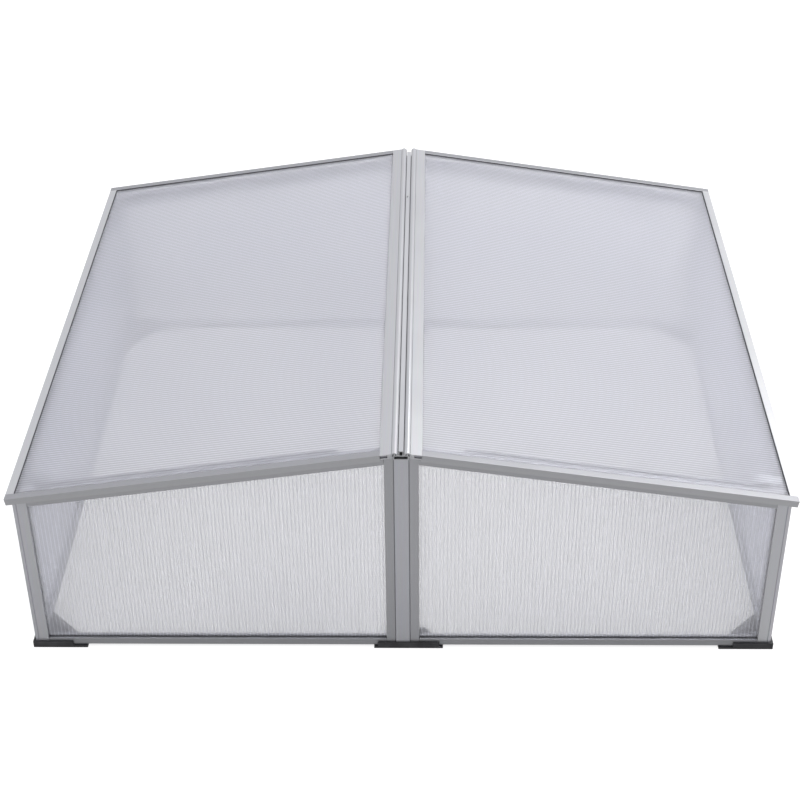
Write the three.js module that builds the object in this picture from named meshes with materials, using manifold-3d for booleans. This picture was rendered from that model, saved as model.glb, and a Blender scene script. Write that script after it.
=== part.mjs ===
// Double cold frame: a bottomless aluminium frame glazed with twin-wall sheet.
// Two lids hinge on a ridge beam that runs front to back, each with a folding stay.
// Millimetres, +Z up, origin on the ground at the middle. The front is -Y.

import * as THREE from 'three';
import { mergeVertices } from 'three/addons/utils/BufferGeometryUtils.js';
import Module from 'manifold-3d';

const wasm = await Module();
wasm.setup();

// ---- Overall sizes
const WALL_SPAN = 1190;          // outside of the side walls
const WALL_DEPTH = 984;         // outside of the front and back walls
const EAVE_OVERHANG = 5;        // lid past a side wall
const GABLE_OVERHANG = 19;      // lid past the front or back wall
const EAVE_TOP = 314;           // top of the lid at the eave
const RIDGE_RISE = 89;          // top of the hinge knuckles over the eave
const LID_OPEN = 50;            // degrees each lid opens

// ---- Clearances
const GAP = 0.3;                // between two fixed pieces that touch
const FIT = 0.4;                // sheet edge to the bottom of its slot
const SLIDE = 0.4;              // between a lid at rest and what it closes on

// ---- Sheet and slots
const SHEET = 4;
const SLOT_PLAY = 0.6;          // slot wider than the sheet
const SLOT_DEEP = 8.5;
const SKIN = 1.4;               // wall of a frame extrusion

// ---- Wall frame
const FRAME_THICK = 14;
const CORNER_WEB = 4.4;         // between the two slots of a corner post
const CORNER_ROUND = 3;
const CENTRE_HALF = 26.2;
const STRIP_HALF = 11;         // raised middle strip of a centre post
const STRIP_PROUD = 1;
const GROOVE = 1.2;
const GROOVE_DEEP = 1.1;
const CORNER_GROOVE_AT = 6.2;   // from the outer edge of a corner post
const SILL_BOTTOM = 4.8;
const SILL_TALL = 12;
const GABLE_TALL = 24;
const SIDE_TALL = 22;

// ---- Lid frame
const LIP = 1.6;
const RAIL_WIDE = 12.7;
const DRIP = 3.7;                 // outer wall below the lower lip
const LID_ABOVE_AXIS = 3.8;     // lid's top face over the hinge axis
const HINGE_RAIL_END = 21.5;      // hinge axis to the outer edge of the hinge rail

// ---- Ridge beam and knuckles
const BEAD_R = 3.1;
const KNUCKLE_PLAY = 0.4;       // bead to the inside of the knuckle
const KNUCKLE_WALL = 1.8;
const KNUCKLE_OPEN = [-52.7, -160.7];   // mouth of the knuckle, degrees
const KNUCKLE_STEPS = 24;
const STEM = 2.4;
const CREST_HALF = 3.7;
const CREST_GAP = 0.8;          // crest to a knuckle
const CREST_BELOW_TOP = 3.4;
const DECK_CLEAR = 1;
const DECK_LEDGE = 1.7;         // deck past the middle of a bead
const DECK_TALL = 8;
const BEAM_SKIN = 1.4;
const BEAM_INSET = 9.2;         // beam end inside the lid end

// ---- Feet
const FOOT_PROUD = 3.6;
const PLATE = 3.6;
const SKIRT_TALL = 12.2;
const GUSSET_LEG = 88;
const GUSSET_TIP = 12;
const CORNER_SKIRT = 65;
const CENTRE_SKIRT_HALF = 49.8;
const CENTRE_PLATE_HALF = 55.7;
const CENTRE_GUSSET = 47;       // depth of the centre plate, from its outer edge
const SEAT_LONG = 40;
const CENTRE_FOOT_SHIFT = 9;    // centre foot to the right of its post, seen from outside

// ---- Stays
const STAY_HALF = 6.5;
const STAY_THICK = 3;
const STAY_OFF_POST = 1;
const STAY_INSET = 44;        // pivot in from the lid's eave edge
const STAY_DROP = 3;          // bar's top edge below the lid
const STAY_TIP = 11;             // bar beyond the peg
const PEG_ALONG = 246;
const PEG_R = 3;
const PEG_CLEAR = 0.8;
const PIN_R = 2.4;
const PIN_HEAD_R = 4.3;
const PIN_HEAD = 1.9;
const TAB_THICK = 2;
const TAB_HALF = 8.5;
const BRACKET_WIDE = 22;

// ---- Lid corner cleats
const CLEAT_LEG = 38;
const CLEAT_THICK = 1.6;
const CLEAT_CLEAR = 0.3;        // cleat to the outside of the side wall

// ---- Worked-out positions
const rad = THREE.MathUtils.degToRad;
const slotWide = SHEET + SLOT_PLAY;
const knuckleIn = BEAD_R + KNUCKLE_PLAY;
const knuckleOut = knuckleIn + KNUCKLE_WALL;
const axisX = CREST_HALF + CREST_GAP + knuckleOut;
const deckHalf = axisX + DECK_LEDGE;
const cornerSize = (FRAME_THICK + slotWide) / 2 + CORNER_WEB + SLOT_DEEP;
const ridgeTop = EAVE_TOP + RIDGE_RISE;
const wallX = WALL_SPAN / 2;
const wallY = WALL_DEPTH / 2;
const lidY = wallY + GABLE_OVERHANG;
const axisZ = ridgeTop - knuckleOut;
const run = wallX + EAVE_OVERHANG - axisX;
const fall = axisZ - EAVE_TOP;
const lidEnd = Math.sqrt(run ** 2 + fall ** 2 - LID_ABOVE_AXIS ** 2);
const pitch = Math.atan2(LID_ABOVE_AXIS, lidEnd) + Math.atan2(fall, run);
const slotTop = LID_ABOVE_AXIS - LIP;
const slotBottom = slotTop - slotWide;
const lidUnder = slotBottom - LIP;
const gableTop = lidUnder - SLIDE;
const gableUnder = gableTop - GABLE_TALL;
const slopeZ = (x, v) => axisZ - (x - axisX) * Math.tan(pitch) + v / Math.cos(pitch);
// Distance along the lid to an upright plane at x, at height v off the lid's frame.
const alongLid = (x, v) => (x - axisX - v * Math.sin(pitch)) / Math.cos(pitch);
const sideTop = slopeZ(wallX, lidUnder) - SLIDE;
const deckTop = -knuckleOut - DECK_CLEAR;
const postTop = axisZ + deckTop - DECK_TALL - GAP;
const postFoot = PLATE + GAP;
const slotMid = FRAME_THICK / 2;        // sheet's middle plane, in from the wall face
const sillTop = SILL_BOTTOM + SILL_TALL;
const sheetFoot = sillTop - SLOT_DEEP + FIT;
const innerEdge = wallX - cornerSize;  // inner edges of the corner posts
const innerEdgeY = wallY - cornerSize;
const stayY = -(innerEdgeY - STAY_OFF_POST - STAY_THICK / 2);
const pivotAt = [lidEnd - STAY_INSET, lidUnder - STAY_DROP - STAY_HALF];
const pegV = pivotAt[1] - STAY_HALF - PEG_R - PEG_CLEAR;

// ---- Materials
const paint = (color, roughness, metalness, rest = {}) => (
  new THREE.MeshStandardMaterial({ color, roughness, metalness, ...rest }));
const aluminium = paint(0xa9abad, 0.42, 0.85);
const brightAluminium = paint(0xc4c6c8, 0.35, 0.9);
const glazing = paint(0xe2e4ea, 0.3, 0, { transparent: true, opacity: 0.55 });
const blackPlastic = paint(0x1b1c1e, 0.6, 0);
const steel = paint(0x8d8f92, 0.35, 1);

// ---- Shape helpers
const AXES = {
  x: [[0, 1, 0], [0, 0, 1], [1, 0, 0]],
  y: [[1, 0, 0], [0, 0, 1], [0, -1, 0]],
  z: [[1, 0, 0], [0, 1, 0], [0, 0, 1]],
};

// Extrudes an outline along an axis, from one coordinate to another.
function extrude(outline, axis, from, to, holes = []) {
  const toPoints = (list) => list.map(([a, b]) => new THREE.Vector2(a, b));
  const shape = new THREE.Shape(toPoints(outline));
  shape.holes = holes.map((hole) => new THREE.Path(toPoints(hole)));
  const geometry = new THREE.ExtrudeGeometry(shape, { depth: to - from, bevelEnabled: false });
  const basis = AXES[axis].map((column) => new THREE.Vector3(...column));
  geometry.applyMatrix4(new THREE.Matrix4().makeBasis(...basis));
  return axis === 'y'
    ? geometry.translate(0, to, 0)
    : geometry.translate(...basis[2].multiplyScalar(from));
}

const rect = (a0, b0, a1, b1) => [[a0, b0], [a1, b0], [a1, b1], [a0, b1]];

function arc(a, b, radius, startDeg, endDeg, steps) {
  return Array.from({ length: steps + 1 }, (_, i) => {
    const angle = rad(startDeg + ((endDeg - startDeg) * i) / steps);
    return [a + radius * Math.cos(angle), b + radius * Math.sin(angle)];
  });
}

const disc = (a, b, radius, steps = 20) => arc(a, b, radius, 0, 360 - 360 / steps, steps - 1);

// ---- Joining and cutting
function toSolid(geometry) {
  const bare = geometry.clone();
  bare.deleteAttribute('normal');
  bare.deleteAttribute('uv');
  const merged = mergeVertices(bare, 1e-4);
  return new wasm.Manifold(new wasm.Mesh({
    numProp: 3,
    vertProperties: new Float32Array(merged.attributes.position.array),
    triVerts: new Uint32Array(merged.index.array),
  }));
}

function toGeometry(manifold) {
  const mesh = manifold.getMesh();
  const geometry = new THREE.BufferGeometry();
  geometry.setAttribute('position', new THREE.BufferAttribute(mesh.vertProperties, 3));
  geometry.setIndex(new THREE.BufferAttribute(mesh.triVerts, 1));
  geometry.computeVertexNormals();
  return geometry;
}

const join = (first, ...rest) => (
  toGeometry(rest.reduce((sum, g) => sum.add(toSolid(g)), toSolid(first))));
const cut = (first, ...rest) => (
  toGeometry(rest.reduce((sum, g) => sum.subtract(toSolid(g)), toSolid(first))));
const keep = (first, second) => toGeometry(toSolid(first).intersect(toSolid(second)));

function place(parent, name, geometry, material) {
  const mesh = new THREE.Mesh(geometry, material);
  mesh.name = name;
  parent.add(mesh);
  return mesh;
}

// ---- Wall extrusions
// A channel profile, open at the top or bottom for the sheet, with a box behind the slot.
function channel(near, far, bottom, top, slotUp) {
  const mid = (near + far) / 2;
  const slotEnd = slotUp ? top - SLOT_DEEP : bottom + SLOT_DEEP;
  const mouth = slotUp ? top : bottom;
  const slot = [
    [mid - slotWide / 2, mouth], [mid - slotWide / 2, slotEnd],
    [mid + slotWide / 2, slotEnd], [mid + slotWide / 2, mouth],
  ];
  const outline = slotUp
    ? [[near, bottom], [far, bottom], [far, top], ...slot.reverse(), [near, top]]
    : [[near, bottom], ...slot, [far, bottom], [far, top], [near, top]];
  const box = slotUp
    ? rect(near + SKIN, bottom + SKIN, far - SKIN, slotEnd - SKIN)
    : rect(near + SKIN, slotEnd + SKIN, far - SKIN, top - SKIN);
  return { outline, box };
}

function gableSill() {
  const { outline, box } = channel(-wallY, -wallY + FRAME_THICK, SILL_BOTTOM, sillTop, true);
  return extrude(outline, 'x', CENTRE_HALF + GAP, innerEdge - GAP, [box]);
}

function sideSill() {
  const { outline, box } = channel(wallX - FRAME_THICK, wallX, SILL_BOTTOM, sillTop, true);
  return extrude(outline, 'y', -innerEdgeY + GAP, innerEdgeY - GAP, [box]);
}

function sideTopRail() {
  const { outline, box } = channel(wallX - FRAME_THICK, wallX, sideTop - SIDE_TALL, sideTop, false);
  return extrude(outline, 'y', -innerEdgeY + GAP, innerEdgeY - GAP, [box]);
}

// Follows the roof slope, with both ends cut upright to meet the posts.
function gableRail() {
  const { outline, box } = channel(-wallY, -wallY + FRAME_THICK, gableUnder, gableTop, false);
  const long = extrude(outline, 'x', 0, lidEnd, [box]);
  long.applyMatrix4(onSlope());
  const between = extrude(rect(-wallY - GAP, 0, -wallY + FRAME_THICK + GAP, ridgeTop), 'x',
    CENTRE_HALF + GAP, innerEdge - GAP);
  return keep(long, between);
}

const onSlope = () => new THREE.Matrix4().makeRotationY(pitch).setPosition(axisX, 0, axisZ);

// ---- Posts
function cornerPost() {
  const x1 = wallX;
  const x0 = innerEdge;
  const y0 = -wallY;
  const y1 = -innerEdgeY;
  const slotY = y0 + slotMid;
  const slotX = x1 - slotMid;
  const g = x1 - CORNER_GROOVE_AT;
  const h = y0 + CORNER_GROOVE_AT;
  const outline = [
    [x0, y0], [g - GROOVE / 2, y0], [g, y0 + GROOVE_DEEP], [g + GROOVE / 2, y0],
    ...arc(x1 - CORNER_ROUND, y0 + CORNER_ROUND, CORNER_ROUND, -90, 0, 5),
    [x1, h - GROOVE / 2], [x1 - GROOVE_DEEP, h], [x1, h + GROOVE / 2],
    [x1, y1], [slotX + slotWide / 2, y1], [slotX + slotWide / 2, y1 - SLOT_DEEP],
    [slotX - slotWide / 2, y1 - SLOT_DEEP], [slotX - slotWide / 2, y1], [x0, y1],
    [x0, slotY + slotWide / 2], [x0 + SLOT_DEEP, slotY + slotWide / 2],
    [x0 + SLOT_DEEP, slotY - slotWide / 2], [x0, slotY - slotWide / 2],
  ];
  const hollow = rect(x0 + SLOT_DEEP + SKIN, y0 + GROOVE_DEEP + SKIN,
    x1 - GROOVE_DEEP - SKIN, y1 - SLOT_DEEP - SKIN);
  return extrude(outline, 'z', postFoot, sideTop, [hollow]);
}

function centrePost() {
  const y0 = -wallY;
  const y1 = y0 + FRAME_THICK;
  const slotY = y0 + slotMid;
  const right = [
    [STRIP_HALF, y0 - STRIP_PROUD], [STRIP_HALF, y0 + GROOVE_DEEP],
    [STRIP_HALF + GROOVE, y0 + GROOVE_DEEP],
    [STRIP_HALF + GROOVE, y0], [CENTRE_HALF, y0], [CENTRE_HALF, slotY - slotWide / 2],
    [CENTRE_HALF - SLOT_DEEP, slotY - slotWide / 2], [CENTRE_HALF - SLOT_DEEP, slotY + slotWide / 2],
    [CENTRE_HALF, slotY + slotWide / 2], [CENTRE_HALF, y1],
  ];
  const left = right.map(([x, y]) => [-x, y]).reverse();
  const hollow = rect(-STRIP_HALF + SKIN, y0 - STRIP_PROUD + SKIN, STRIP_HALF - SKIN, y1 - SKIN);
  return extrude([...right, ...left], 'z', postFoot, postTop, [hollow]);
}

// ---- Sheets
function gableSheet() {
  const x0 = CENTRE_HALF - SLOT_DEEP + FIT;
  const x1 = innerEdge + SLOT_DEEP - FIT;
  const topV = gableUnder + SLOT_DEEP - FIT;
  const outline = [[x0, sheetFoot], [x1, sheetFoot], [x1, slopeZ(x1, topV)], [x0, slopeZ(x0, topV)]];
  const y = -wallY + slotMid;
  return extrude(outline, 'y', y - SHEET / 2, y + SHEET / 2);
}

function sideSheet() {
  const x = wallX - slotMid;
  const half = innerEdgeY + SLOT_DEEP - FIT;
  const top = sideTop - SIDE_TALL + SLOT_DEEP - FIT;
  return extrude(rect(x - SHEET / 2, sheetFoot, x + SHEET / 2, top), 'y', -half, half);
}

// ---- Feet
function cornerFoot() {
  const x1 = wallX + FOOT_PROUD;
  const y0 = -wallY - FOOT_PROUD;
  const plate = extrude([
    [x1 - GUSSET_LEG, y0], [x1, y0], [x1, y0 + GUSSET_LEG], [x1 - GUSSET_TIP, y0 + GUSSET_LEG],
    [x1 - GUSSET_LEG, y0 + GUSSET_TIP],
  ], 'z', 0, PLATE);
  const skirt = extrude([
    [x1 - CORNER_SKIRT, y0], [x1, y0], [x1, y0 + CORNER_SKIRT], [wallX + GAP, y0 + CORNER_SKIRT],
    [wallX + GAP, -wallY - GAP], [x1 - CORNER_SKIRT, -wallY - GAP],
  ], 'z', 0, SKIRT_TALL);
  const seatTop = SILL_BOTTOM - GAP;
  const frontSeat = extrude(rect(innerEdge - GAP - SEAT_LONG, -wallY + SKIN, innerEdge - GAP,
    -wallY + FRAME_THICK - SKIN), 'z', 0, seatTop);
  const sideSeat = extrude(rect(wallX - FRAME_THICK + SKIN, -innerEdgeY + GAP, wallX - SKIN,
    -innerEdgeY + GAP + SEAT_LONG), 'z', 0, seatTop);
  return join(plate, skirt, frontSeat, sideSeat);
}

function centreFoot() {
  const y0 = -wallY - FOOT_PROUD;
  const plate = extrude([
    [-CENTRE_PLATE_HALF, y0], [CENTRE_PLATE_HALF, y0], [CENTRE_PLATE_HALF, y0 + GUSSET_TIP],
    [CENTRE_HALF, y0 + CENTRE_GUSSET], [-CENTRE_HALF, y0 + CENTRE_GUSSET],
    [-CENTRE_PLATE_HALF, y0 + GUSSET_TIP],
  ], 'z', 0, PLATE).translate(CENTRE_FOOT_SHIFT, 0, 0);
  const skirtX = [CENTRE_FOOT_SHIFT - CENTRE_SKIRT_HALF, CENTRE_FOOT_SHIFT + CENTRE_SKIRT_HALF];
  const skirt = extrude(rect(skirtX[0], y0, skirtX[1], -wallY - STRIP_PROUD - GAP), 'z', 0, SKIRT_TALL);
  const seats = [[skirtX[0], -CENTRE_HALF - GAP], [CENTRE_HALF + GAP, skirtX[1]]].map(([x0, x1]) => (
    extrude(rect(x0, -wallY + SKIN, x1, -wallY + FRAME_THICK - SKIN), 'z', 0, SILL_BOTTOM - GAP)));
  return join(plate, skirt, ...seats);
}

// ---- Ridge beam: a hollow crest between two beads that stand on a box.
function ridgeBeam() {
  const half = lidY - BEAM_INSET;
  const crestTop = ridgeTop - CREST_BELOW_TOP - axisZ;
  const deckFoot = deckTop - DECK_TALL;
  const along = (outline) => extrude(outline, 'y', -half, half);
  const deck = along(rect(-deckHalf, deckFoot, deckHalf, deckTop));
  const crest = along(rect(-CREST_HALF, deckTop - BEAM_SKIN, CREST_HALF, crestTop));
  const beads = [-axisX, axisX].flatMap((x) => [
    along(rect(x - STEM / 2, deckTop - BEAM_SKIN, x + STEM / 2, 0)),
    along(disc(x, 0, BEAD_R, KNUCKLE_STEPS)),
  ]);
  const through = (outline) => extrude(outline, 'y', -half - 1, half + 1);
  const hollows = [
    through(rect(
      -deckHalf + BEAM_SKIN, deckFoot + BEAM_SKIN, deckHalf - BEAM_SKIN, deckTop - BEAM_SKIN,
    )),
    through(rect(-CREST_HALF + BEAM_SKIN, deckTop, CREST_HALF - BEAM_SKIN, crestTop - BEAM_SKIN)),
  ];
  return cut(join(deck, crest, ...beads), ...hollows).translate(0, 0, axisZ);
}

// ---- Lid extrusions, in the lid's own frame: x along the slope from the hinge axis, z off it.
function hingeRail() {
  const [mouthEnd, mouthStart] = KNUCKLE_OPEN;
  const sweep = [mouthEnd, mouthStart + 360];
  const ring = [
    ...arc(0, 0, knuckleOut, ...sweep, KNUCKLE_STEPS),
    ...arc(0, 0, knuckleIn, ...sweep, KNUCKLE_STEPS).reverse(),
  ];
  const back = knuckleIn + LIP / 2;
  const body = [
    [back, lidUnder], [HINGE_RAIL_END, lidUnder], [HINGE_RAIL_END, slotBottom],
    [HINGE_RAIL_END - RAIL_WIDE + LIP, slotBottom], [HINGE_RAIL_END - RAIL_WIDE + LIP, slotTop],
    [HINGE_RAIL_END, slotTop], [HINGE_RAIL_END, LID_ABOVE_AXIS], [back, LID_ABOVE_AXIS],
  ];
  const along = (outline) => extrude(outline, 'y', -lidY, lidY);
  return join(along(ring), along(body));
}

// A lid edge rail's section, open toward the sheet, with a drip lip on the outside.
function edgeSection(outer, inward) {
  const inner = outer + inward * RAIL_WIDE;
  const wall = outer + inward * LIP;
  const points = [
    [outer, LID_ABOVE_AXIS], [inner, LID_ABOVE_AXIS], [inner, slotTop], [wall, slotTop],
    [wall, slotBottom], [inner, slotBottom], [inner, lidUnder], [wall, lidUnder],
    [wall, lidUnder - DRIP], [outer, lidUnder - DRIP],
  ];
  return inward > 0 ? points.reverse() : points;
}

const lidEndRail = () => extrude(edgeSection(-lidY, 1), 'x', HINGE_RAIL_END + GAP, lidEnd);

function eaveRail() {
  const half = lidY - RAIL_WIDE - GAP;
  return extrude(edgeSection(lidEnd, -1), 'y', -half, half);
}

function lidSheet() {
  const half = lidY - LIP - FIT;
  const low = slotBottom + (slotWide - SHEET) / 2;
  const from = HINGE_RAIL_END - RAIL_WIDE + LIP + FIT;
  return extrude(rect(from, low, lidEnd - LIP - FIT, low + SHEET), 'y', -half, half);
}

// An L-shaped plate under the corner where an end rail meets the eave rail.
function lidCleat() {
  const x1 = lidEnd - LIP - GAP;
  const y0 = -lidY + LIP + GAP;
  const y1 = -lidY + RAIL_WIDE;
  const top = lidUnder - GAP;
  const foot = top - CLEAT_THICK;
  const x0 = alongLid(wallX + CLEAT_CLEAR, foot);
  return extrude([
    [x1 - CLEAT_LEG, y0], [x1, y0], [x1, y0 + CLEAT_LEG],
    [x0, y0 + CLEAT_LEG], [x0, y1], [x1 - CLEAT_LEG, y1],
  ], 'z', foot, top);
}

// ---- Stays
// Where the peg lies in the stay's own frame when the lid is open by an angle.
function pegInLid(open) {
  return new THREE.Vector2(PEG_ALONG, pegV).rotateAround(new THREE.Vector2(), -rad(open));
}

const pivot = new THREE.Vector2(...pivotAt);
const reach = pegInLid(LID_OPEN).sub(pivot);
const stayLong = reach.length();
const stayTurn = Math.atan2(-reach.y, -reach.x);    // stay's turn on the lid, fully open

function pegInStay(open) {
  const turn = (stayTurn * open) / LID_OPEN;
  return pegInLid(open).sub(pivot).rotateAround(new THREE.Vector2(), -turn);
}

// The slot follows the peg's path into the bar, so the bar hooks over the peg as the lid opens.
function stay() {
  const bar = [
    ...arc(0, 0, STAY_HALF, -90, 90, 8),
    ...arc(-stayLong - STAY_TIP + STAY_HALF, 0, STAY_HALF, 90, 270, 8),
  ];
  const body = extrude(bar, 'y', -STAY_THICK / 2, STAY_THICK / 2, [disc(0, 0, PIN_R + GAP, 16)]);
  const steps = 8;
  const pathAngle = 7;
  const wide = PEG_R + GAP;
  const blobs = Array.from({ length: steps }, (_, i) => {
    const ends = [i, i + 1].map((k) => pegInStay(LID_OPEN - (pathAngle * k) / steps));
    const heading = THREE.MathUtils.radToDeg(ends[1].clone().sub(ends[0]).angle());
    return extrude([
      ...arc(ends[1].x, ends[1].y, wide, heading - 90, heading + 90, 8),
      ...arc(ends[0].x, ends[0].y, wide, heading + 90, heading + 270, 8),
    ], 'y', -STAY_THICK, STAY_THICK);
  });
  return cut(body, ...blobs);
}

// A strap beside the eave rail that turns down into the tab carrying the pivot pin.
function stayBracket() {
  const tabY = stayY + STAY_THICK / 2 + GAP;
  const [px, pz] = pivotAt;
  const strap = extrude(rect(px - TAB_HALF, tabY, lidEnd - RAIL_WIDE - GAP, tabY + BRACKET_WIDE),
    'z', lidUnder, slotBottom);
  const tab = extrude([
    ...arc(px, pz, TAB_HALF, 180, 360, 10), [px + TAB_HALF, slotBottom], [px - TAB_HALF, slotBottom],
  ], 'y', tabY, tabY + TAB_THICK, [disc(px, pz, PIN_R + GAP, 16)]);
  return join(strap, tab);
}

function headedPin(shankR, headR, headThick, length) {
  const profile = [
    [0, 0], [headR, 0], [headR, headThick], [shankR, headThick], [shankR, length], [0, length],
  ];
  return new THREE.LatheGeometry(profile.map(([r, y]) => new THREE.Vector2(r, y)), 20);
}

// Runs inward along +y from its head beside the bar.
function pivotPin() {
  const headY = stayY - STAY_THICK / 2 - GAP - PIN_HEAD;
  const end = stayY + STAY_THICK / 2 + GAP + TAB_THICK + 1;
  return headedPin(PIN_R, PIN_HEAD_R, PIN_HEAD, end - headY).translate(pivotAt[0], headY, pivotAt[1]);
}

// Stands on the inner face of the gable rail.
function stayPeg() {
  const start = -wallY + FRAME_THICK + GAP;
  const end = stayY + STAY_THICK / 2 + 2;
  const peg = new THREE.CylinderGeometry(PEG_R, PEG_R, end - start, 16);
  return peg.translate(PEG_ALONG, (start + end) / 2, pegV);
}

// ---- Assembly
function mirrored(parent, scaleX, scaleY) {
  const group = new THREE.Group();
  group.scale.set(scaleX, scaleY, 1);
  parent.add(group);
  return group;
}

function slopeGroup(parent) {
  const group = new THREE.Group();
  group.position.set(axisX, 0, axisZ);
  group.rotation.y = pitch;
  parent.add(group);
  return group;
}

const coldFrame = new THREE.Group();
place(coldFrame, 'ridge_beam', ridgeBeam(), aluminium);

for (const [end, scaleY] of [['front', 1], ['back', -1]]) {
  const middle = mirrored(coldFrame, scaleY, scaleY);
  place(middle, `${end}_centre_post`, centrePost(), aluminium);
  place(middle, `${end}_centre_foot`, centreFoot(), blackPlastic);
}

for (const [side, scaleX] of [['left', -1], ['right', 1]]) {
  const half = mirrored(coldFrame, scaleX, 1);
  place(half, `${side}_side_sill`, sideSill(), aluminium);
  place(half, `${side}_side_top_rail`, sideTopRail(), aluminium);
  place(half, `${side}_side_sheet`, sideSheet(), glazing);

  for (const [end, scaleY] of [['front', 1], ['back', -1]]) {
    const corner = mirrored(half, 1, scaleY);
    place(corner, `${end}_${side}_foot`, cornerFoot(), blackPlastic);
    place(corner, `${end}_${side}_post`, cornerPost(), aluminium);
    place(corner, `${end}_${side}_sill`, gableSill(), aluminium);
    place(corner, `${end}_${side}_gable_rail`, gableRail(), aluminium);
    place(corner, `${end}_${side}_gable_sheet`, gableSheet(), glazing);
    const lidCorner = slopeGroup(corner);
    place(lidCorner, `${side}_lid_${end}_rail`, lidEndRail(), brightAluminium);
    place(lidCorner, `${side}_lid_${end}_cleat`, lidCleat(), steel);
  }

  const lid = slopeGroup(half);
  place(lid, `${side}_lid_hinge_rail`, hingeRail(), brightAluminium);
  place(lid, `${side}_lid_eave_rail`, eaveRail(), brightAluminium);
  place(lid, `${side}_lid_sheet`, lidSheet(), glazing);
  place(lid, `${side}_stay_bracket`, stayBracket(), steel);
  place(lid, `${side}_stay_pin`, pivotPin(), steel);
  place(lid, `${side}_stay_peg`, stayPeg(), steel);
  place(lid, `${side}_stay`, stay(), brightAluminium).position.set(pivotAt[0], stayY, pivotAt[1]);
}

export default coldFrame;
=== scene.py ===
import bpy
import math

from mathutils import Matrix, Vector


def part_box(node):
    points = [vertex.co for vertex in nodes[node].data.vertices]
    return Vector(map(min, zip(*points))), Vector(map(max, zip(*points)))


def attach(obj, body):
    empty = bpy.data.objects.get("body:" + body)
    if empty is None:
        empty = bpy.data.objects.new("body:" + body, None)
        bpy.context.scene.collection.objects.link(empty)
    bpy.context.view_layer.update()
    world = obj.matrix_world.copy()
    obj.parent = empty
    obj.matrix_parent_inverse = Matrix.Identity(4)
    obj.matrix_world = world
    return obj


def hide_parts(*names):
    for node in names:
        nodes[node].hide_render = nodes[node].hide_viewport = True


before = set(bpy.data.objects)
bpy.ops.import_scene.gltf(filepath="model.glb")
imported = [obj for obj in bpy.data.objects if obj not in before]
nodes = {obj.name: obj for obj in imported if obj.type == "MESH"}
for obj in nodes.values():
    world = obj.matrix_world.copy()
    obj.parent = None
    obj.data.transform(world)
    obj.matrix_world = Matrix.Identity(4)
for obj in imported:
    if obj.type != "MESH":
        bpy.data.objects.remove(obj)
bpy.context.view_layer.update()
scene = bpy.context.scene
MM = 0.001

# ---------------------------------------------------------------- Camera
# Stands in front of the frame, 44 mm right of its middle line, and looks down
# on both lids. A small sideways shift of the lens moves the frame to the right.
CAMERA_AT = Vector((0.0444, -2.5006, 1.8601))
CAMERA_YAW = -0.251
CAMERA_DOWN = 34.394
CAMERA_ROLL = 0.007
CAMERA_LENS = 75.13
CAMERA_SHIFT = -0.0312
SENSOR_WIDTH = 36.0

camera_data = bpy.data.cameras.new("camera")
camera_data.lens = CAMERA_LENS
camera_data.sensor_width = SENSOR_WIDTH
camera_data.shift_x = CAMERA_SHIFT
camera = bpy.data.objects.new("camera", camera_data)
scene.collection.objects.link(camera)
camera.matrix_world = (
    Matrix.Translation(CAMERA_AT)
    @ Matrix.Rotation(math.radians(-CAMERA_YAW), 4, "Z")
    @ Matrix.Rotation(math.radians(90 - CAMERA_DOWN), 4, "X")
    @ Matrix.Rotation(math.radians(-CAMERA_ROLL), 4, "Z")
)
scene.camera = camera

# ---------------------------------------------------------------- Studio
# A pale seamless floor under a soft white sky, with one wide lamp overhead to
# the right and a weak one in front. The floor glows so that it stays white, and
# is dimmed inside the frame for the shade of the sheets, most along the walls.
SKY_TONE, SKY_STRENGTH = (0.955, 0.96, 1.0), 0.82
LAMP_TARGET = (0, 0, 0.25)
LIGHT_BOUNCES, CLEAR_BOUNCES = 24, 48

scene.view_settings.view_transform = "Standard"
scene.cycles.use_denoising = True
scene.cycles.max_bounces = LIGHT_BOUNCES
scene.cycles.transmission_bounces = LIGHT_BOUNCES
scene.cycles.transparent_max_bounces = CLEAR_BOUNCES
scene.cycles.caustics_reflective = False

sky = bpy.data.worlds.new("studio_sky")
sky.use_nodes = True
background = sky.node_tree.nodes["Background"]
background.inputs["Color"].default_value = (*SKY_TONE, 1)
background.inputs["Strength"].default_value = SKY_STRENGTH
scene.world = sky


def add_lamp(name, place, size, power):
    """A round area lamp that faces the middle of the frame."""
    data = bpy.data.lights.new(name, "AREA")
    data.shape = "DISK"
    data.size = size
    data.energy = power
    lamp = bpy.data.objects.new(name, data)
    scene.collection.objects.link(lamp)
    lamp.location = place
    lamp.rotation_mode = "QUATERNION"
    lamp.rotation_quaternion = (Vector(LAMP_TARGET) - Vector(place)).to_track_quat("-Z", "Y")


add_lamp("overhead_lamp", place=(1.7, 0.7, 3.1), size=2.6, power=95)
add_lamp("front_lamp", place=(-1.4, -3.1, 2.2), size=1.9, power=12)


def new_material(name):
    material = bpy.data.materials.new(name)
    material.use_nodes = True
    return material, material.node_tree, material.node_tree.nodes["Principled BSDF"]


def wire(tree, source, target):
    tree.links.new(source, target)


def spread(tree, low, high, start=0.0, stop=1.0):
    """A node that maps values from start..stop to low..high."""
    node = tree.nodes.new("ShaderNodeMapRange")
    node.inputs["From Min"].default_value = start
    node.inputs["From Max"].default_value = stop
    node.inputs["To Min"].default_value = low
    node.inputs["To Max"].default_value = high
    return node


# The floor lies just under the feet. A mirrored ray sees a small share of its
# glow. Its shade follows the larger of the two distances from the middle, as
# shares of the distance to the wall.
FLOOR_WIDE, FLOOR_DROP, FLOOR_TONE = 40, 0.5 * MM, (0.25, 0.25, 0.25)
FLOOR_GLOW, METAL_SHARE = 0.92, 0.22
OPEN_SHARE, WALL_SHARE = 0.95, 0.84
SHADE_STOPS = ((0.55, OPEN_SHARE), (0.93, WALL_SHARE), (0.995, WALL_SHARE))

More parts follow.
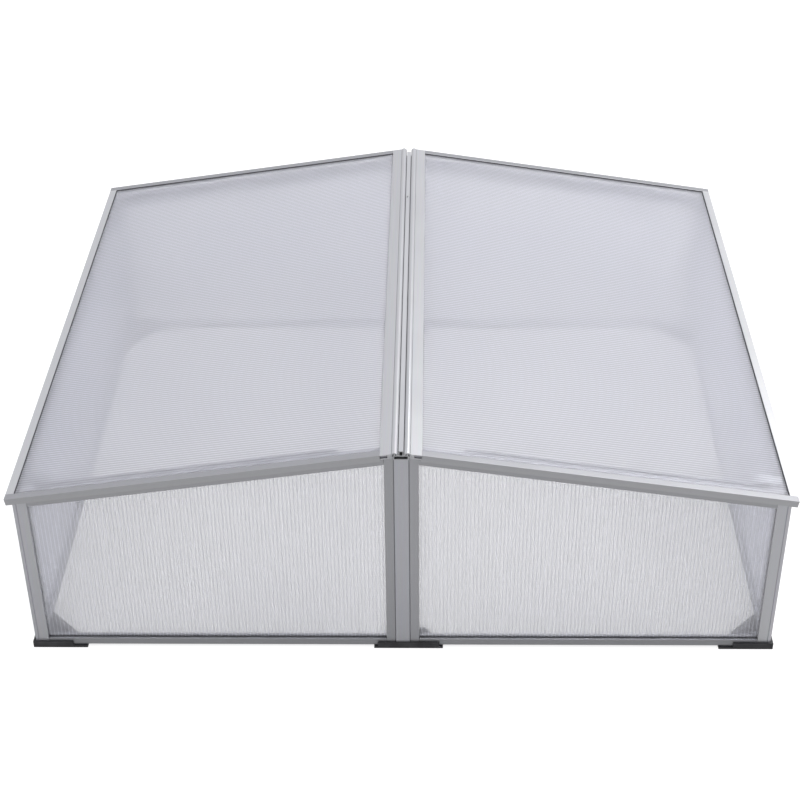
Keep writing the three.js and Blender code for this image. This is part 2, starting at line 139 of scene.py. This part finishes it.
bpy.ops.object.select_all(action="DESELECT")
bpy.ops.mesh.primitive_plane_add(size=FLOOR_WIDE, location=(0, 0, -FLOOR_DROP))
floor = bpy.context.object
floor.name = "floor"
floor_paint, tree, shader = new_material("floor_paint")
shader.inputs["Base Color"].default_value = (*FLOOR_TONE, 1)
shader.inputs["Roughness"].default_value = 0.9
shader.inputs["Specular IOR Level"].default_value = 0.0
shader.inputs["Emission Color"].default_value = (1, 1, 1, 1)
floor_paint.cycles.emission_sampling = "NONE"
ray = tree.nodes.new("ShaderNodeLightPath")
glow = spread(tree, FLOOR_GLOW, FLOOR_GLOW * METAL_SHARE)
wire(tree, ray.outputs["Is Glossy Ray"], glow.inputs["Value"])
wall_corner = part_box("back_right_post")[1]
coords = tree.nodes.new("ShaderNodeTexCoord")
footprint = tree.nodes.new("ShaderNodeMapping")
footprint.inputs["Scale"].default_value = (1 / wall_corner.x, 1 / wall_corner.y, 0)
parts = tree.nodes.new("ShaderNodeSeparateXYZ")
wire(tree, coords.outputs["Object"], footprint.inputs["Vector"])
wire(tree, footprint.outputs["Vector"], parts.inputs["Vector"])
outermost = tree.nodes.new("ShaderNodeMath")
outermost.operation = "MAXIMUM"
for slot, axis in enumerate(("X", "Y")):
    reach = tree.nodes.new("ShaderNodeMath")
    reach.operation = "ABSOLUTE"
    wire(tree, parts.outputs[axis], reach.inputs[0])
    wire(tree, reach.outputs["Value"], outermost.inputs[slot])
shaded = tree.nodes.new("ShaderNodeValToRGB")
for position, share in SHADE_STOPS:
    stop = shaded.color_ramp.elements.new(position)
    stop.color = (share, share, share, 1)
shaded.color_ramp.elements[0].color = (OPEN_SHARE, OPEN_SHARE, OPEN_SHARE, 1)
lit = tree.nodes.new("ShaderNodeMath")
lit.operation = "MULTIPLY"
wire(tree, outermost.outputs["Value"], shaded.inputs["Fac"])
wire(tree, glow.outputs["Result"], lit.inputs[0])
wire(tree, shaded.outputs["Color"], lit.inputs[1])
wire(tree, lit.outputs["Value"], shader.inputs["Emission Strength"])
floor.data.materials.append(floor_paint)


# ---------------------------------------------------------------- Aluminium extrusions
# Posts, sills, rails and the ridge beam are mill-finish aluminium, pressed
# through a die, which leaves fine lines along each length. Corners are eased
# by the die. Sharp edges get a painted highlight and recesses a painted
# shade, and the satin finish is slightly uneven.
HIGHLIGHT_FROM, HIGHLIGHT_TO = 0.52, 0.62
RECESS_FROM, RECESS_TO, RECESS_SHADE = 0.40, 0.49, 0.04
LINE_DEPTH, LINE_SCALE = 0.0002, 900.0


def noise(tree, coords, scale, detail):
    """A noise node on the piece's own coordinates."""
    node = tree.nodes.new("ShaderNodeTexNoise")
    node.inputs["Scale"].default_value = scale
    node.inputs["Detail"].default_value = detail
    wire(tree, coords.outputs["Object"], node.inputs["Vector"])
    return node


def bumps(tree, height, strength, depth):
    """A bump node that reads a height."""
    node = tree.nodes.new("ShaderNodeBump")
    node.inputs["Strength"].default_value = strength
    node.inputs["Distance"].default_value = depth
    wire(tree, height, node.inputs["Height"])
    return node


def blend(tree, factor=None, multiply=False):
    """A colour mix node, with a fixed factor where one is given."""
    node = tree.nodes.new("ShaderNodeMix")
    node.data_type = "RGBA"
    if multiply:
        node.blend_type = "MULTIPLY"
    if factor is not None:
        node.inputs["Factor"].default_value = factor
    return node


def lines_shade_highlight_group():
    """Fine lines along the length, soft patches, painted shade in recesses and painted highlights
    on sharp edges.
    """
    group = bpy.data.node_groups.new("lines_shade_highlight", "ShaderNodeTree")
    face = group.interface
    for name, kind in (("Vector", "NodeSocketVector"), ("Line Scale", "NodeSocketFloat"),
                       ("Tone", "NodeSocketColor"), ("Highlight Tone", "NodeSocketColor"),
                       ("Rough", "NodeSocketFloat")):
        face.new_socket(name=name, in_out="INPUT", socket_type=kind)
    for name, kind in (("Color", "NodeSocketColor"), ("Roughness", "NodeSocketFloat"),
                       ("Normal", "NodeSocketVector")):
        face.new_socket(name=name, in_out="OUTPUT", socket_type=kind)
    make = group.nodes.new
    given, made = make("NodeGroupInput"), make("NodeGroupOutput")
    lines = make("ShaderNodeTexNoise")
    lines.inputs["Detail"].default_value = 3.0
    wire(group, given.outputs["Vector"], lines.inputs["Vector"])
    wire(group, given.outputs["Line Scale"], lines.inputs["Scale"])
    patches = noise(group, make("ShaderNodeTexCoord"), scale=9.0, detail=4.0)
    geometry = make("ShaderNodeNewGeometry")
    # Painted highlight: sharp edges, found by pointiness, turn towards the edge tone.
    edge = spread(group, 0.0, 1.0, HIGHLIGHT_FROM, HIGHLIGHT_TO)
    wire(group, geometry.outputs["Pointiness"], edge.inputs["Value"])
    shade = blend(group, factor=0.22, multiply=True)
    wire(group, given.outputs["Tone"], shade.inputs["A"])
    wire(group, lines.outputs["Color"], shade.inputs["B"])
    # Painted shade: recesses, found by pointiness, are darkened down to RECESS_SHADE.
    recess = spread(group, RECESS_SHADE, 1.0, RECESS_FROM, RECESS_TO)
    wire(group, geometry.outputs["Pointiness"], recess.inputs["Value"])
    recess_shade_mix = blend(group, factor=1.0, multiply=True)
    wire(group, shade.outputs["Result"], recess_shade_mix.inputs["A"])
    wire(group, recess.outputs["Result"], recess_shade_mix.inputs["B"])
    highlight_mix = blend(group)
    wire(group, edge.outputs["Result"], highlight_mix.inputs["Factor"])
    wire(group, recess_shade_mix.outputs["Result"], highlight_mix.inputs["A"])
    wire(group, given.outputs["Highlight Tone"], highlight_mix.inputs["B"])
    uneven = spread(group, -0.07, 0.09)
    wire(group, patches.outputs["Fac"], uneven.inputs["Value"])
    rough = make("ShaderNodeMath")
    wire(group, given.outputs["Rough"], rough.inputs[0])
    wire(group, uneven.outputs["Result"], rough.inputs[1])
    bump = bumps(group, lines.outputs["Fac"], strength=0.10, depth=LINE_DEPTH)
    wire(group, highlight_mix.outputs["Result"], made.inputs["Color"])
    wire(group, rough.outputs["Value"], made.inputs["Roughness"])
    wire(group, bump.outputs["Normal"], made.inputs["Normal"])
    return group


LINES_SHADE_HIGHLIGHT = lines_shade_highlight_group()


def aluminium(name, tone, highlight_tone, rough, stretch):
    """stretch squeezes the pattern along the extrusion, so it draws lines."""
    material, tree, shader = new_material(name)
    coords = tree.nodes.new("ShaderNodeTexCoord")
    mapping = tree.nodes.new("ShaderNodeMapping")
    mapping.inputs["Scale"].default_value = stretch
    group = tree.nodes.new("ShaderNodeGroup")
    group.node_tree = LINES_SHADE_HIGHLIGHT
    group.inputs["Line Scale"].default_value = LINE_SCALE
    group.inputs["Tone"].default_value = (*tone, 1)
    group.inputs["Highlight Tone"].default_value = (*highlight_tone, 1)
    group.inputs["Rough"].default_value = rough
    wire(tree, coords.outputs["Object"], mapping.inputs["Vector"])
    wire(tree, mapping.outputs["Vector"], group.inputs["Vector"])
    wire(tree, group.outputs["Color"], shader.inputs["Base Color"])
    wire(tree, group.outputs["Roughness"], shader.inputs["Roughness"])
    wire(tree, group.outputs["Normal"], shader.inputs["Normal"])
    shader.inputs["Metallic"].default_value = 0.85
    return material


FRAME_TONE, FRAME_HIGHLIGHT = (0.37, 0.372, 0.395), (0.60, 0.605, 0.62)
# The corner posts get a lighter copy of the same aluminium: painted light.
CORNER_LIT_TONE = (0.70, 0.702, 0.74)
# The lid rails and stays that run across get a darker copy: painted shade on their front faces.
LID_X_SHADED_TONE = (0.33, 0.332, 0.355)
# The end sills get a darker copy: painted shade on their front faces.
SILL_SHADED_TONE = (0.27, 0.272, 0.285)
# The lid's hinge and eave rails get a lighter copy: painted light on their tops.
LID_Y_LIT_TONE, LID_HIGHLIGHT = (0.60, 0.605, 0.625), (0.74, 0.745, 0.75)
ALONG_X, ALONG_Y, ALONG_Z = (0.01, 1, 1), (1, 0.01, 1), (1, 1, 0.01)
frame_along_x = aluminium("frame_aluminium_x", FRAME_TONE, FRAME_HIGHLIGHT, 0.42, ALONG_X)
frame_along_y = aluminium("frame_aluminium_y", FRAME_TONE, FRAME_HIGHLIGHT, 0.42, ALONG_Y)
frame_along_z = aluminium("frame_aluminium_z", FRAME_TONE, FRAME_HIGHLIGHT, 0.42, ALONG_Z)
corner_lit_along_z = aluminium("corner_lit_aluminium_z", CORNER_LIT_TONE, FRAME_HIGHLIGHT, 0.40, ALONG_Z)
sill_shaded_along_x = aluminium("sill_shaded_aluminium_x", SILL_SHADED_TONE, FRAME_HIGHLIGHT, 0.45, ALONG_X)
lid_shaded_along_x = aluminium("lid_shaded_aluminium_x", LID_X_SHADED_TONE, LID_HIGHLIGHT, 0.36, ALONG_X)
lid_lit_along_y = aluminium("lid_lit_aluminium_y", LID_Y_LIT_TONE, LID_HIGHLIGHT, 0.36, ALONG_Y)


WELD_WITHIN = 0.00001
SHARP_ANGLE = math.radians(35)


def finish_node(name, material, ease):
    """Gives a carried-over node its material and eases its edges."""
    node = nodes[name]
    node.data.materials.clear()
    node.data.materials.append(material)
    weld = node.modifiers.new("weld", "WELD")
    weld.merge_threshold = WELD_WITHIN
    bevel = node.modifiers.new("eased_edges", "BEVEL")
    bevel.width = ease
    bevel.segments = 2
    bevel.limit_method = "ANGLE"
    bevel.angle_limit = SHARP_ANGLE
    bevel.harden_normals = False


SIDES, ENDS = ("left", "right"), ("front", "back")
OUTWARD = {"left": -1, "right": 1, "front": -1, "back": 1}
DIE_EASE, HINGE_EASE = 0.3 * MM, 0.2 * MM
finish_node("ridge_beam", frame_along_y, HINGE_EASE)

# The middle strip of a centre post stands proud and is polished lighter.
STRIP_HALF, STRIP_TONE = 11 * MM, (0.66, 0.662, 0.72)
strip_along_z = aluminium("strip_aluminium_z", FRAME_TONE, FRAME_HIGHLIGHT, 0.42, ALONG_Z)
tree = strip_along_z.node_tree
coords = tree.nodes.new("ShaderNodeTexCoord")
parts = tree.nodes.new("ShaderNodeSeparateXYZ")
across = tree.nodes.new("ShaderNodeMath")
across.operation = "ABSOLUTE"
strip = tree.nodes.new("ShaderNodeMath")
strip.operation = "LESS_THAN"
strip.inputs[1].default_value = STRIP_HALF
tone = blend(tree)
tone.inputs["A"].default_value = (*FRAME_TONE, 1)
tone.inputs["B"].default_value = (*STRIP_TONE, 1)
wire(tree, coords.outputs["Object"], parts.inputs["Vector"])
wire(tree, parts.outputs["X"], across.inputs[0])
wire(tree, across.outputs["Value"], strip.inputs[0])
wire(tree, strip.outputs["Value"], tone.inputs["Factor"])
group = next(node for node in tree.nodes if node.type == "GROUP")
wire(tree, tone.outputs["Result"], group.inputs["Tone"])
for end in ENDS:
    finish_node(f"{end}_centre_post", strip_along_z, DIE_EASE)
for side in SIDES:
    finish_node(f"{side}_side_sill", frame_along_y, DIE_EASE)
    finish_node(f"{side}_side_top_rail", frame_along_y, DIE_EASE)
    finish_node(f"{side}_lid_hinge_rail", lid_lit_along_y, HINGE_EASE)
    finish_node(f"{side}_lid_eave_rail", lid_lit_along_y, DIE_EASE)
    finish_node(f"{side}_stay", lid_shaded_along_x, DIE_EASE)
    for end in ENDS:
        finish_node(f"{end}_{side}_post", corner_lit_along_z, DIE_EASE)
        finish_node(f"{end}_{side}_sill", sill_shaded_along_x, DIE_EASE)
        finish_node(f"{end}_{side}_gable_rail", frame_along_x, DIE_EASE)
        finish_node(f"{side}_lid_{end}_rail", lid_shaded_along_x, DIE_EASE)


# ---------------------------------------------------------------- Feet
# Black polypropylene mouldings with a satin, faintly grained skin. A flat
# gusset plate braces each corner, and a low skirt laps the posts outside.
BLACK_DEEP, BLACK_WORN = (0.013, 0.013, 0.015), (0.040, 0.040, 0.043)
MOULD_EASE, GRAIN_DEPTH = 0.6 * MM, 0.0002


def two_tones(tree, first, last, first_at=0.0, last_at=1.0):
    """A colour ramp from one tone to another."""
    node = tree.nodes.new("ShaderNodeValToRGB")
    start, stop = node.color_ramp.elements
    start.position = first_at
    start.color = (*first, 1)
    stop.position = last_at
    stop.color = (*last, 1)
    return node


moulded_black, tree, shader = new_material("moulded_black")
coords = tree.nodes.new("ShaderNodeTexCoord")
grain = noise(tree, coords, scale=1400.0, detail=2.0)
scuffs = noise(tree, coords, scale=38.0, detail=6.0)
tone = two_tones(tree, BLACK_DEEP, BLACK_WORN, 0.35, 0.75)
dull = spread(tree, 0.42, 0.68)
skin = bumps(tree, grain.outputs["Fac"], strength=0.25, depth=GRAIN_DEPTH)
wire(tree, scuffs.outputs["Fac"], tone.inputs["Fac"])
wire(tree, scuffs.outputs["Fac"], dull.inputs["Value"])
wire(tree, tone.outputs["Color"], shader.inputs["Base Color"])
wire(tree, dull.outputs["Result"], shader.inputs["Roughness"])
wire(tree, skin.outputs["Normal"], shader.inputs["Normal"])

for end in ENDS:
    finish_node(f"{end}_centre_foot", moulded_black, MOULD_EASE)
    for side in SIDES:
        finish_node(f"{end}_{side}_foot", moulded_black, MOULD_EASE)

# ---------------------------------------------------------------- Plated steel
# Cleats, stay brackets, pins and pegs are zinc-plated steel, with a faint
# crystal mottle in the plating.
ZINC_DARK, ZINC_LIGHT = (0.44, 0.45, 0.46), (0.58, 0.585, 0.59)
PLATE_EASE, PIN_EASE = 0.2 * MM, 0.25 * MM

zinc_plate, tree, shader = new_material("zinc_plate")
coords = tree.nodes.new("ShaderNodeTexCoord")
mottle = tree.nodes.new("ShaderNodeTexVoronoi")
mottle.inputs["Scale"].default_value = 420.0
tone = two_tones(tree, ZINC_DARK, ZINC_LIGHT)
dull = spread(tree, 0.26, 0.42)
wire(tree, coords.outputs["Object"], mottle.inputs["Vector"])
wire(tree, mottle.outputs["Distance"], tone.inputs["Fac"])
wire(tree, mottle.outputs["Distance"], dull.inputs["Value"])
wire(tree, tone.outputs["Color"], shader.inputs["Base Color"])
wire(tree, dull.outputs["Result"], shader.inputs["Roughness"])
shader.inputs["Metallic"].default_value = 1.0
for side in SIDES:
    finish_node(f"{side}_stay_bracket", zinc_plate, PLATE_EASE)
    finish_node(f"{side}_stay_pin", zinc_plate, PIN_EASE)
    finish_node(f"{side}_stay_peg", zinc_plate, PIN_EASE)
    for end in ENDS:
        finish_node(f"{side}_lid_{end}_cleat", zinc_plate, PLATE_EASE)

# ---------------------------------------------------------------- Twin-wall sheets
# Each sheet is extruded, milky polycarbonate: two thin skins held apart by ribs,
# with an open flute between each pair. Flutes stand upright in the walls and run
# from ridge to eave in the lids. Near things show through, and far ones fade.
SHEET = 4.0 * MM
FLUTE, SKIN, RIB, FILLET = 5.86 * MM, 0.28 * MM, 0.30 * MM, 0.45 * MM
SHEET_TONES = (0.955, 0.958, 1.0), (0.972, 0.974, 1.0)
RIB_SHADED_TONES = (0.81, 0.815, 0.88), (0.84, 0.845, 0.91)
TOUCH, CUT_WITHIN, FACING = 1e-6, 1e-7, 0.9

milky_sheet, tree, shader = new_material("milky_sheet")
coords = tree.nodes.new("ShaderNodeTexCoord")
cloud = noise(tree, coords, scale=3.2, detail=3.0)
tint = two_tones(tree, *SHEET_TONES, 0.3, 0.7)
tint.name = "sheet_tint"
haze = spread(tree, 0.36, 0.46)
wire(tree, cloud.outputs["Fac"], tint.inputs["Fac"])
wire(tree, cloud.outputs["Fac"], haze.inputs["Value"])
wire(tree, tint.outputs["Color"], shader.inputs["Base Color"])
wire(tree, haze.outputs["Result"], shader.inputs["Roughness"])
shader.inputs["IOR"].default_value = 1.22
shader.inputs["Transmission Weight"].default_value = 0.78
shader.inputs["Alpha"].default_value = 0.27

# The ribs and their rounded roots, seen edge on, get a darker and less clear copy of the sheet:
# painted shade for the darker lines they show.
shaded_rib = milky_sheet.copy()
shaded_rib.name = "shaded_rib"
shader = shaded_rib.node_tree.nodes["Principled BSDF"]
shader.inputs["Transmission Weight"].default_value = 0.66
shader.inputs["Alpha"].default_value = 0.44
rib_ramp = shaded_rib.node_tree.nodes["sheet_tint"].color_ramp
for stop, colour in zip(rib_ramp.elements, RIB_SHADED_TONES):
    stop.color = (*colour, 1)


def apply_modifier(piece, kind, **settings):
    """Adds a modifier with these settings and makes its result the mesh."""
    bpy.context.view_layer.objects.active = piece
    modifier = piece.modifiers.new(kind.lower(), kind)
    for key, value in settings.items():
        setattr(modifier, key, value)
    bpy.ops.object.modifier_apply(modifier=modifier.name)


def select_parts(piece, kind, wanted):
    """Selects only the faces or edges that wanted(part) picks, in edit mode."""
    bpy.ops.object.mode_set(mode="EDIT")
    bpy.ops.mesh.select_mode(type=kind)
    bpy.ops.mesh.select_all(action="DESELECT")
    bpy.ops.object.mode_set(mode="OBJECT")
    for part in piece.data.polygons if kind == "FACE" else piece.data.edges:
        part.select = wanted(part)
    bpy.ops.object.mode_set(mode="EDIT")


def fluted_panel(name, across, along, thick):
    """A flat sheet centred on the origin: flutes repeat along X and run along Y."""
    count = round(across / FLUTE)
    pitch = across / count
    bpy.ops.object.select_all(action="DESELECT")
    bpy.ops.mesh.primitive_cube_add(size=1, location=(0, 0, 0))
    piece = bpy.context.object
    piece.name = name
    piece.scale = (pitch, along, thick)
    bpy.ops.object.transform_apply(location=True, rotation=True, scale=True)
    select_parts(piece, "FACE", lambda face: abs(face.normal.x) > FACING)
    bpy.ops.mesh.delete(type="ONLY_FACE")
    select_parts(piece, "FACE", lambda face: abs(face.normal.y) > FACING)
    bpy.ops.mesh.inset(thickness=RIB / 2, use_boundary=True, use_individual=True)
    bpy.ops.mesh.bridge_edge_loops()
    bpy.ops.object.mode_set(mode="OBJECT")
    for vertex in piece.data.vertices:
        if abs(abs(vertex.co.z) - thick / 2) > TOUCH:
            vertex.co.z = math.copysign(thick / 2 - SKIN, vertex.co.z)

    def flute_corner(edge):
        first, last = (piece.data.vertices[i].co for i in edge.vertices)
        inner = abs(abs(first.z) - (thick / 2 - SKIN)) < TOUCH
        return inner and abs(first.y - last.y) > along / 2

    select_parts(piece, "EDGE", flute_corner)
    bpy.ops.mesh.bevel(offset=FILLET, segments=3)
    root = pitch / 2 - RIB / 2 - FILLET
    for edge_x in (-root, root):
        select_parts(piece, "FACE", lambda face: abs(face.center.z) > thick / 2 - TOUCH)
        bpy.ops.mesh.bisect(plane_co=(edge_x, 0, 0), plane_no=(1, 0, 0),
                            threshold=CUT_WITHIN)
    bpy.ops.object.mode_set(mode="OBJECT")
    piece.data.materials.append(milky_sheet)
    piece.data.materials.append(shaded_rib)
    for face in piece.data.polygons:
        face.material_index = 1 if abs(face.center.x) > root else 0
    apply_modifier(piece, "ARRAY", count=count, use_merge_vertices=True,
                   merge_threshold=WELD_WITHIN, relative_offset_displace=(1, 0, 0))
    bpy.ops.object.mode_set(mode="EDIT")
    bpy.ops.mesh.select_all(action="SELECT")
    bpy.ops.mesh.fill_holes(sides=4)
    bpy.ops.mesh.select_all(action="SELECT")
    bpy.ops.mesh.normals_make_consistent(inside=False)
    bpy.ops.object.mode_set(mode="OBJECT")
    piece.data.transform(Matrix.Translation((-(across - pitch) / 2, 0, 0)))
    return piece


def put(piece, matrix):
    """Moves a piece's mesh, so that its object stays at the origin."""
    piece.data.transform(matrix)
    piece.data.update()


def basis(x_axis, y_axis, z_axis, place):
    """The turn and move that lay a piece's own axes along these three."""
    turned = Matrix((x_axis, y_axis, z_axis)).transposed().to_4x4()
    return Matrix.Translation(place) @ turned


def glaze(piece, node, body):
    """Hands a finished sheet over in place of its plain node."""
    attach(piece, body)
    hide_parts(node)


# Thin black beads lie in the gap between a sheet and the lips of its rails and
# sills: painted shade, dark strips put where the gap lies in shade. Their upper
# corners are rounded. A lid rail covers the edge of its sheet, and the bead lies
# along the rail's inner side.
BEAD_WIDE, BEAD_TALL, BEAD_ROUND = 1.1 * MM, 1.4 * MM, 0.4 * MM
BEAD_GAP = 0.05 * MM
BEAD_OUT = SHEET / 2 + BEAD_GAP + BEAD_WIDE / 2
RAIL_COVERS = 10.7 * MM
SHADE_BLACK_DARK, SHADE_BLACK_LIGHT = (0.030, 0.030, 0.034), (0.085, 0.085, 0.092)
RIGHT, BACK, UP = Vector((1, 0, 0)), Vector((0, 1, 0)), Vector((0, 0, 1))

# A black material for the beads and the rivet's stem hole: painted shade.
painted_shade_black, tree, shader = new_material("painted_shade_black")
coords = tree.nodes.new("ShaderNodeTexCoord")
shade_mottle = noise(tree, coords, scale=240.0, detail=2.0)
tone = two_tones(tree, SHADE_BLACK_DARK, SHADE_BLACK_LIGHT)
wire(tree, shade_mottle.outputs["Fac"], tone.inputs["Fac"])
wire(tree, tone.outputs["Color"], shader.inputs["Base Color"])
shader.inputs["Roughness"].default_value = 0.7


def shade_bead(name, length, direction, upward, foot, body):
    """A straight bead that stands on foot, the middle of its underside."""
    bpy.ops.object.select_all(action="DESELECT")
    bpy.ops.mesh.primitive_cube_add(size=1, location=(0, 0, 0.5))
    piece = bpy.context.object
    piece.name = name
    bpy.ops.object.transform_apply(location=True, rotation=True, scale=True)
    piece.scale = (length, BEAD_WIDE, BEAD_TALL)
    bpy.ops.object.transform_apply(location=True, rotation=True, scale=True)
    select_parts(piece, "EDGE", lambda edge: all(
        piece.data.vertices[i].co.z > BEAD_TALL / 2 for i in edge.vertices))
    bpy.ops.mesh.bevel(offset=BEAD_ROUND, segments=3)
    bpy.ops.object.mode_set(mode="OBJECT")
    put(piece, basis(direction, upward.cross(direction), upward, foot))
    piece.data.materials.append(painted_shade_black)
    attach(piece, body)


for side in SIDES:
    low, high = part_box(f"{side}_side_sheet")
    middle = (low + high) / 2
    sheet = fluted_panel(f"{side}_side_twin_wall", high.y - low.y, high.z - low.z, SHEET)
    put(sheet, basis((0, 1, 0), (0, 0, 1), (1, 0, 0), middle))
    glaze(sheet, f"{side}_side_sheet", "base")
    sill_low, sill_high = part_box(f"{side}_side_sill")
    foot = Vector((middle.x + OUTWARD[side] * BEAD_OUT, 0, sill_high.z))
    shade_bead(f"{side}_side_sill_shade_bead", sill_high.y - sill_low.y - 2 * BEAD_GAP, BACK, UP, foot, "base")

# A gable sheet is cut along its top to the slope of the roof, by taking away
# a block that lies on that slope.
WASTE_LONG, WASTE_THICK, WASTE_TALL = 2, 0.1, 0.5
EAVE_WITHIN = 1e-5

for side in SIDES:
    for end in ENDS:
        node = f"{end}_{side}_gable_sheet"
        low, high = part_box(node)
        middle = (low + high) / 2
        eave_x = low.x if side == "left" else high.x
        corners = [vertex.co for vertex in nodes[node].data.vertices]
        eave_z = max(p.z for p in corners if abs(p.x - eave_x) < EAVE_WITHIN)
        sheet = fluted_panel(f"{end}_{side}_gable_twin_wall", high.x - low.x,
                             high.z - low.z, SHEET)
        put(sheet, basis((1, 0, 0), (0, 0, 1), (0, -1, 0), middle))
        rise = (high.z - eave_z) / (high.x - low.x)
        lean = math.atan(rise) * OUTWARD[side]
        bpy.ops.object.select_all(action="DESELECT")
        bpy.ops.mesh.primitive_cube_add(size=1)
        waste = bpy.context.object
        waste.name = "waste"
        ridge_x = high.x if side == "left" else low.x
        put(waste, Matrix.Translation((ridge_x, middle.y, high.z))
            @ Matrix.Rotation(lean, 4, "Y")
            @ Matrix.Translation((0, 0, WASTE_TALL / 2))
            @ Matrix.Diagonal((WASTE_LONG, WASTE_THICK, WASTE_TALL, 1)))
        bpy.context.view_layer.objects.active = sheet
        apply_modifier(sheet, "BOOLEAN", object=waste, operation="DIFFERENCE", solver="EXACT")
        bpy.data.objects.remove(waste)
        bpy.ops.object.mode_set(mode="EDIT")
        bpy.ops.mesh.select_all(action="SELECT")
        bpy.ops.mesh.remove_doubles(threshold=TOUCH)
        bpy.ops.mesh.dissolve_degenerate(threshold=TOUCH)
        bpy.ops.object.mode_set(mode="OBJECT")
        glaze(sheet, node, "base")
        sill_low, sill_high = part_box(f"{end}_{side}_sill")
        foot = Vector(((sill_low.x + sill_high.x) / 2,
                       middle.y + OUTWARD[end] * BEAD_OUT, sill_high.z))
        shade_bead(f"{end}_{side}_sill_shade_bead", sill_high.x - sill_low.x - 2 * BEAD_GAP,
             RIGHT, UP, foot, "base")

# A lid sheet lies on the slope. The slope and the sheet's length come from
# the two upper corners of its node on one end.
FAR_END, LEVEL_WITHIN = 0.4, 1e-4

for side in SIDES:
    node = f"{side}_lid_sheet"
    low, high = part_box(node)
    corners = [vertex.co for vertex in nodes[node].data.vertices]
    top_ridge = max(corners, key=lambda p: p.z)
    far = [p for p in corners if (p - top_ridge).length > FAR_END]
    top_eave = max((p for p in far if abs(p.y - top_ridge.y) < LEVEL_WITHIN), key=lambda p: p.z)
    slope = top_eave - top_ridge
    length = slope.length
    slope.normalize()
    upward = BACK.cross(slope)
    if upward.z < 0:
        upward.negate()
    middle = (top_ridge + top_eave) / 2 - upward * SHEET / 2
    middle.y = 0
    sheet = fluted_panel(f"{side}_lid_twin_wall", high.y - low.y, length, SHEET)
    put(sheet, basis(BACK, slope, BACK.cross(slope), middle))
    glaze(sheet, node, f"{side}_lid")

    face = middle + upward * SHEET / 2
    step = RAIL_COVERS + BEAD_GAP + BEAD_WIDE / 2
    half_depth = (high.y - low.y) / 2
    shade_bead(f"{side}_lid_eave_shade_bead", 2 * (half_depth - RAIL_COVERS - BEAD_GAP), BACK, upward,
         face + slope * (length / 2 - step), f"{side}_lid")
    eave_room = BEAD_WIDE + 2 * BEAD_GAP
    for end in ENDS:
        foot = face - slope * eave_room / 2 + BACK * OUTWARD[end] * (half_depth - step)
        shade_bead(f"{side}_lid_{end}_shade_bead", length - 2 * RAIL_COVERS - eave_room, slope, upward,
             foot, f"{side}_lid")

# ---------------------------------------------------------------- Crest rivet
# One blind rivet sits on the crest, towards the back: a low domed head with the
# round hole that its pulled stem leaves.
RIVET_AT, RIVET_R, RIVET_TALL, RIVET_HOLE = 310 * MM, 2.6 * MM, 1.3 * MM, 1.3 * MM
RIVET_ROUND, HOLE_DEEP = 0.7 * MM, 0.8 * MM
CREST_HALF, SUNK_BY = 4 * MM, 0.01 * MM
beam = [vertex.co for vertex in nodes["ridge_beam"].data.vertices]
crest_top = max(p.z for p in beam if abs(p.x) < CREST_HALF)
bpy.ops.object.select_all(action="DESELECT")
bpy.ops.mesh.primitive_cylinder_add(vertices=32, radius=RIVET_R, depth=RIVET_TALL)
rivet = bpy.context.object
rivet.name = "crest_rivet"
select_parts(rivet, "FACE", lambda face: face.normal.z > FACING)
bpy.ops.mesh.bevel(offset=RIVET_ROUND, segments=4, affect="EDGES")
select_parts(rivet, "FACE", lambda face: face.normal.z > 0.99)
bpy.ops.mesh.inset(thickness=RIVET_R - RIVET_ROUND - RIVET_HOLE)
bpy.ops.mesh.extrude_region_move(TRANSFORM_OT_translate={"value": (0, 0, -HOLE_DEEP)})
bpy.ops.object.mode_set(mode="OBJECT")
bpy.ops.object.shade_smooth_by_angle(angle=SHARP_ANGLE)
put(rivet, Matrix.Translation((0, RIVET_AT, crest_top + RIVET_TALL / 2)))
rivet.data.materials.append(zinc_plate)
rivet.data.materials.append(painted_shade_black)
# The faces inside the stem hole take the black material: painted shade in the hole.
for face in rivet.data.polygons:
    off_axis = (face.center.xy - Vector((0, RIVET_AT))).length
    sunk = face.center.z < crest_top + RIVET_TALL - SUNK_BY
    face.material_index = 1 if sunk and off_axis < RIVET_HOLE else 0
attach(rivet, "base")
